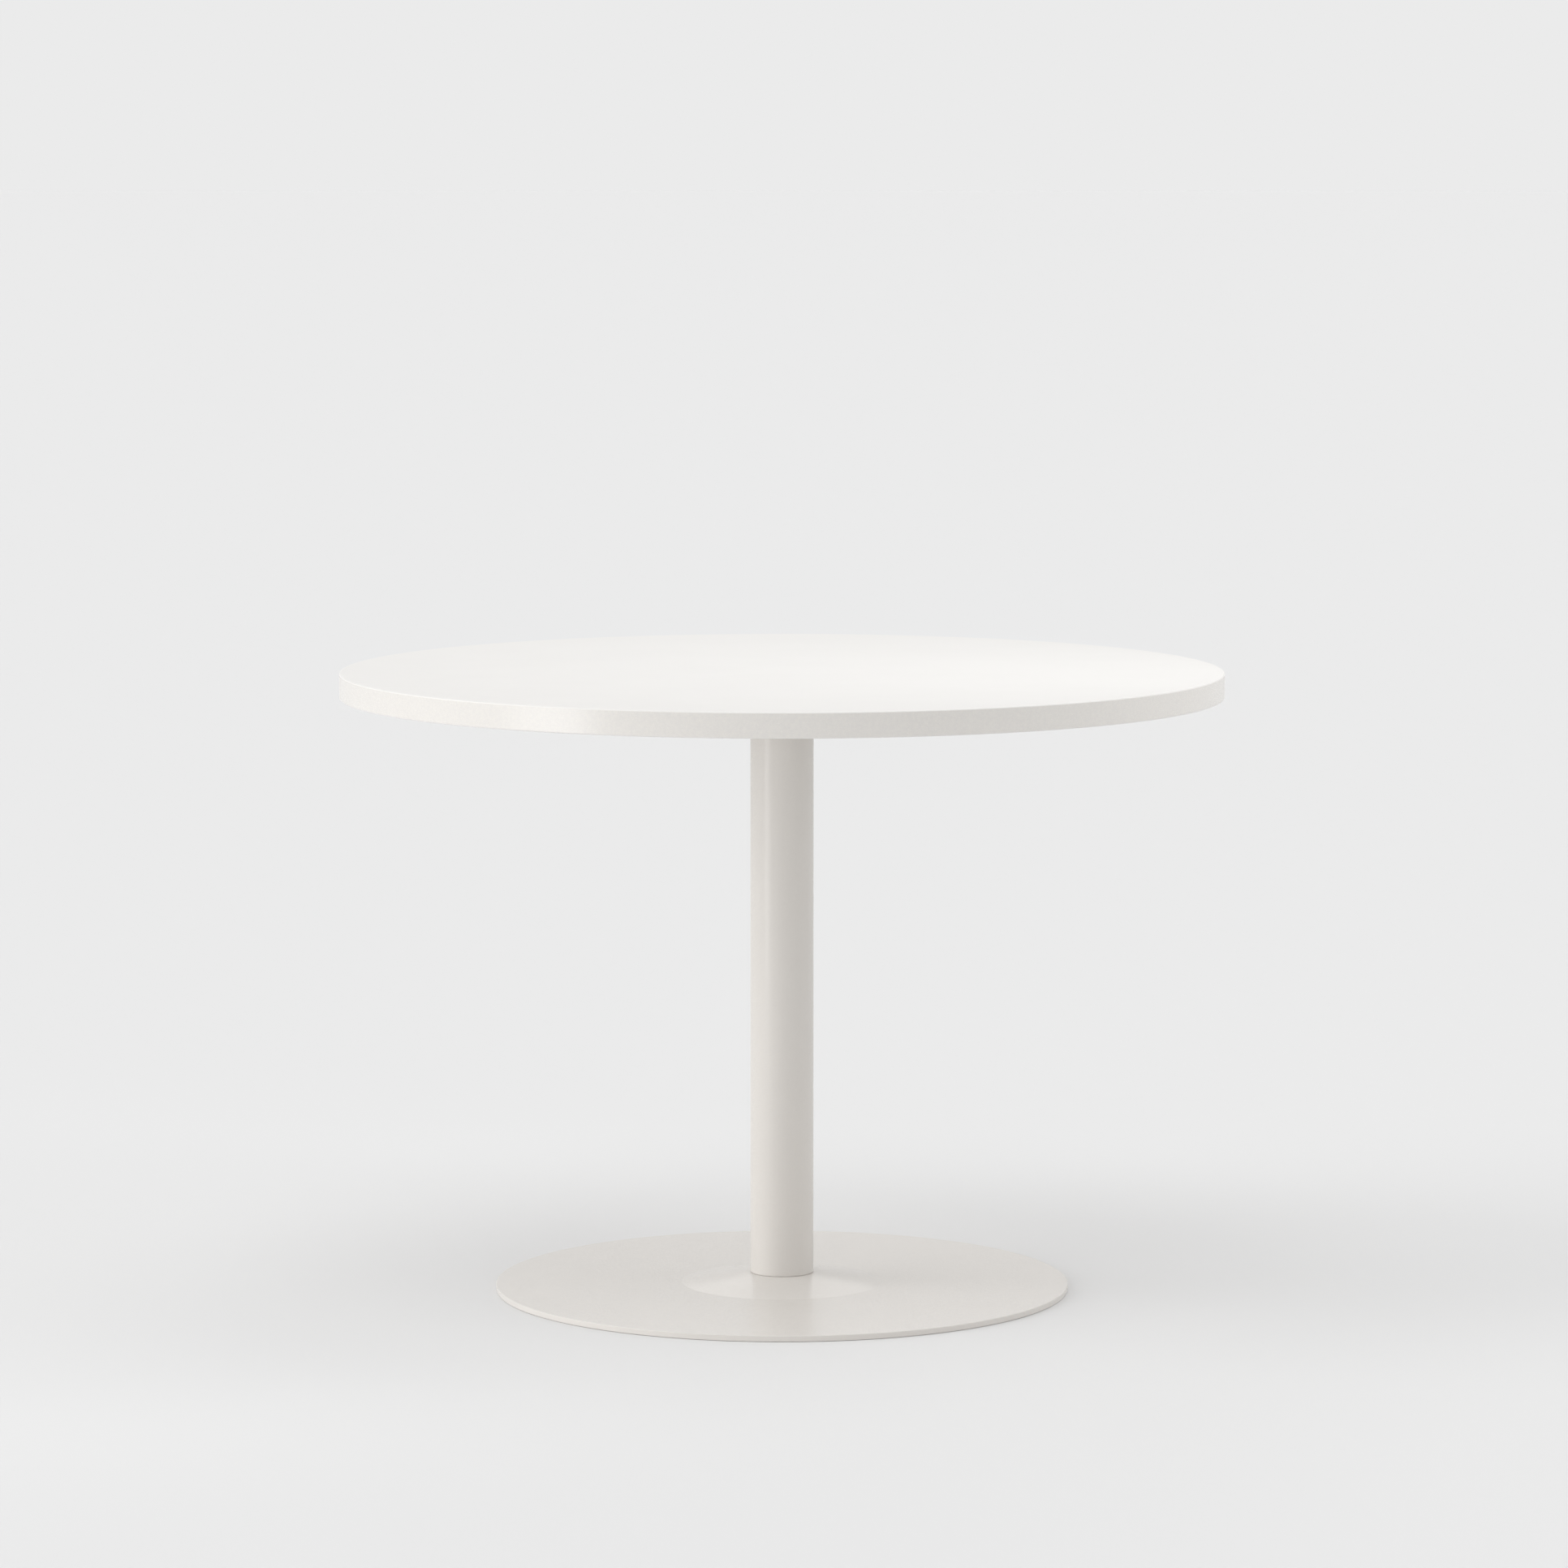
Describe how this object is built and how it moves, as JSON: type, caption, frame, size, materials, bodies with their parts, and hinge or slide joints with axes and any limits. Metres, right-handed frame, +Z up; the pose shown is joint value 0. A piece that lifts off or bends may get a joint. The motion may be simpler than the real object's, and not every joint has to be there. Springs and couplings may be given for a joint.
{
  "type": "round pedestal table",
  "caption": "Round pedestal table: thick round top on a straight tube column, over a thin disc base with a shallow coned centre.",
  "frame": {"origin": "on the floor, at the centre of the base, on the column's axis", "axes": "+Z up along the column; -Y is the side first seen, +X to its right; the arms of the spider lie at 45 degrees between X and Y"},
  "size_m": [1.06, 1.06, 0.75],
  "materials": {
    "laminate": "white high-pressure laminate, fine matt",
    "edge_plastic": "white ABS edging, satin",
    "board": "raw particle board",
    "powder_coat": "warm white powder coat on steel, satin",
    "bare_steel": "plain mild steel",
    "zinc_steel": "bright zinc plated",
    "insert_metal": "yellow passivated zinc",
    "glide_plastic": "grey nylon"
  },
  "bodies": {
    "root": {"top_laminate": "laminate", "tabletop_core": "board", "backing_laminate": "laminate", "edge_band": "edge_plastic", "threaded_inserts": "insert_metal", "tabletop_screws": "zinc_steel", "spider_plate": "powder_coat", "spider_arm_1": "powder_coat", "spider_arm_2": "powder_coat", "spider_arm_3": "powder_coat", "spider_arm_4": "powder_coat", "spider_bolts": "zinc_steel", "spider_washers": "zinc_steel", "column_top_plate": "bare_steel", "column_tube": "powder_coat", "column_foot_plate": "bare_steel", "base_disc": "powder_coat", "base_bolts": "zinc_steel", "base_washers": "zinc_steel", "base_glides": "glide_plastic"}
  },
  "joints": []
}
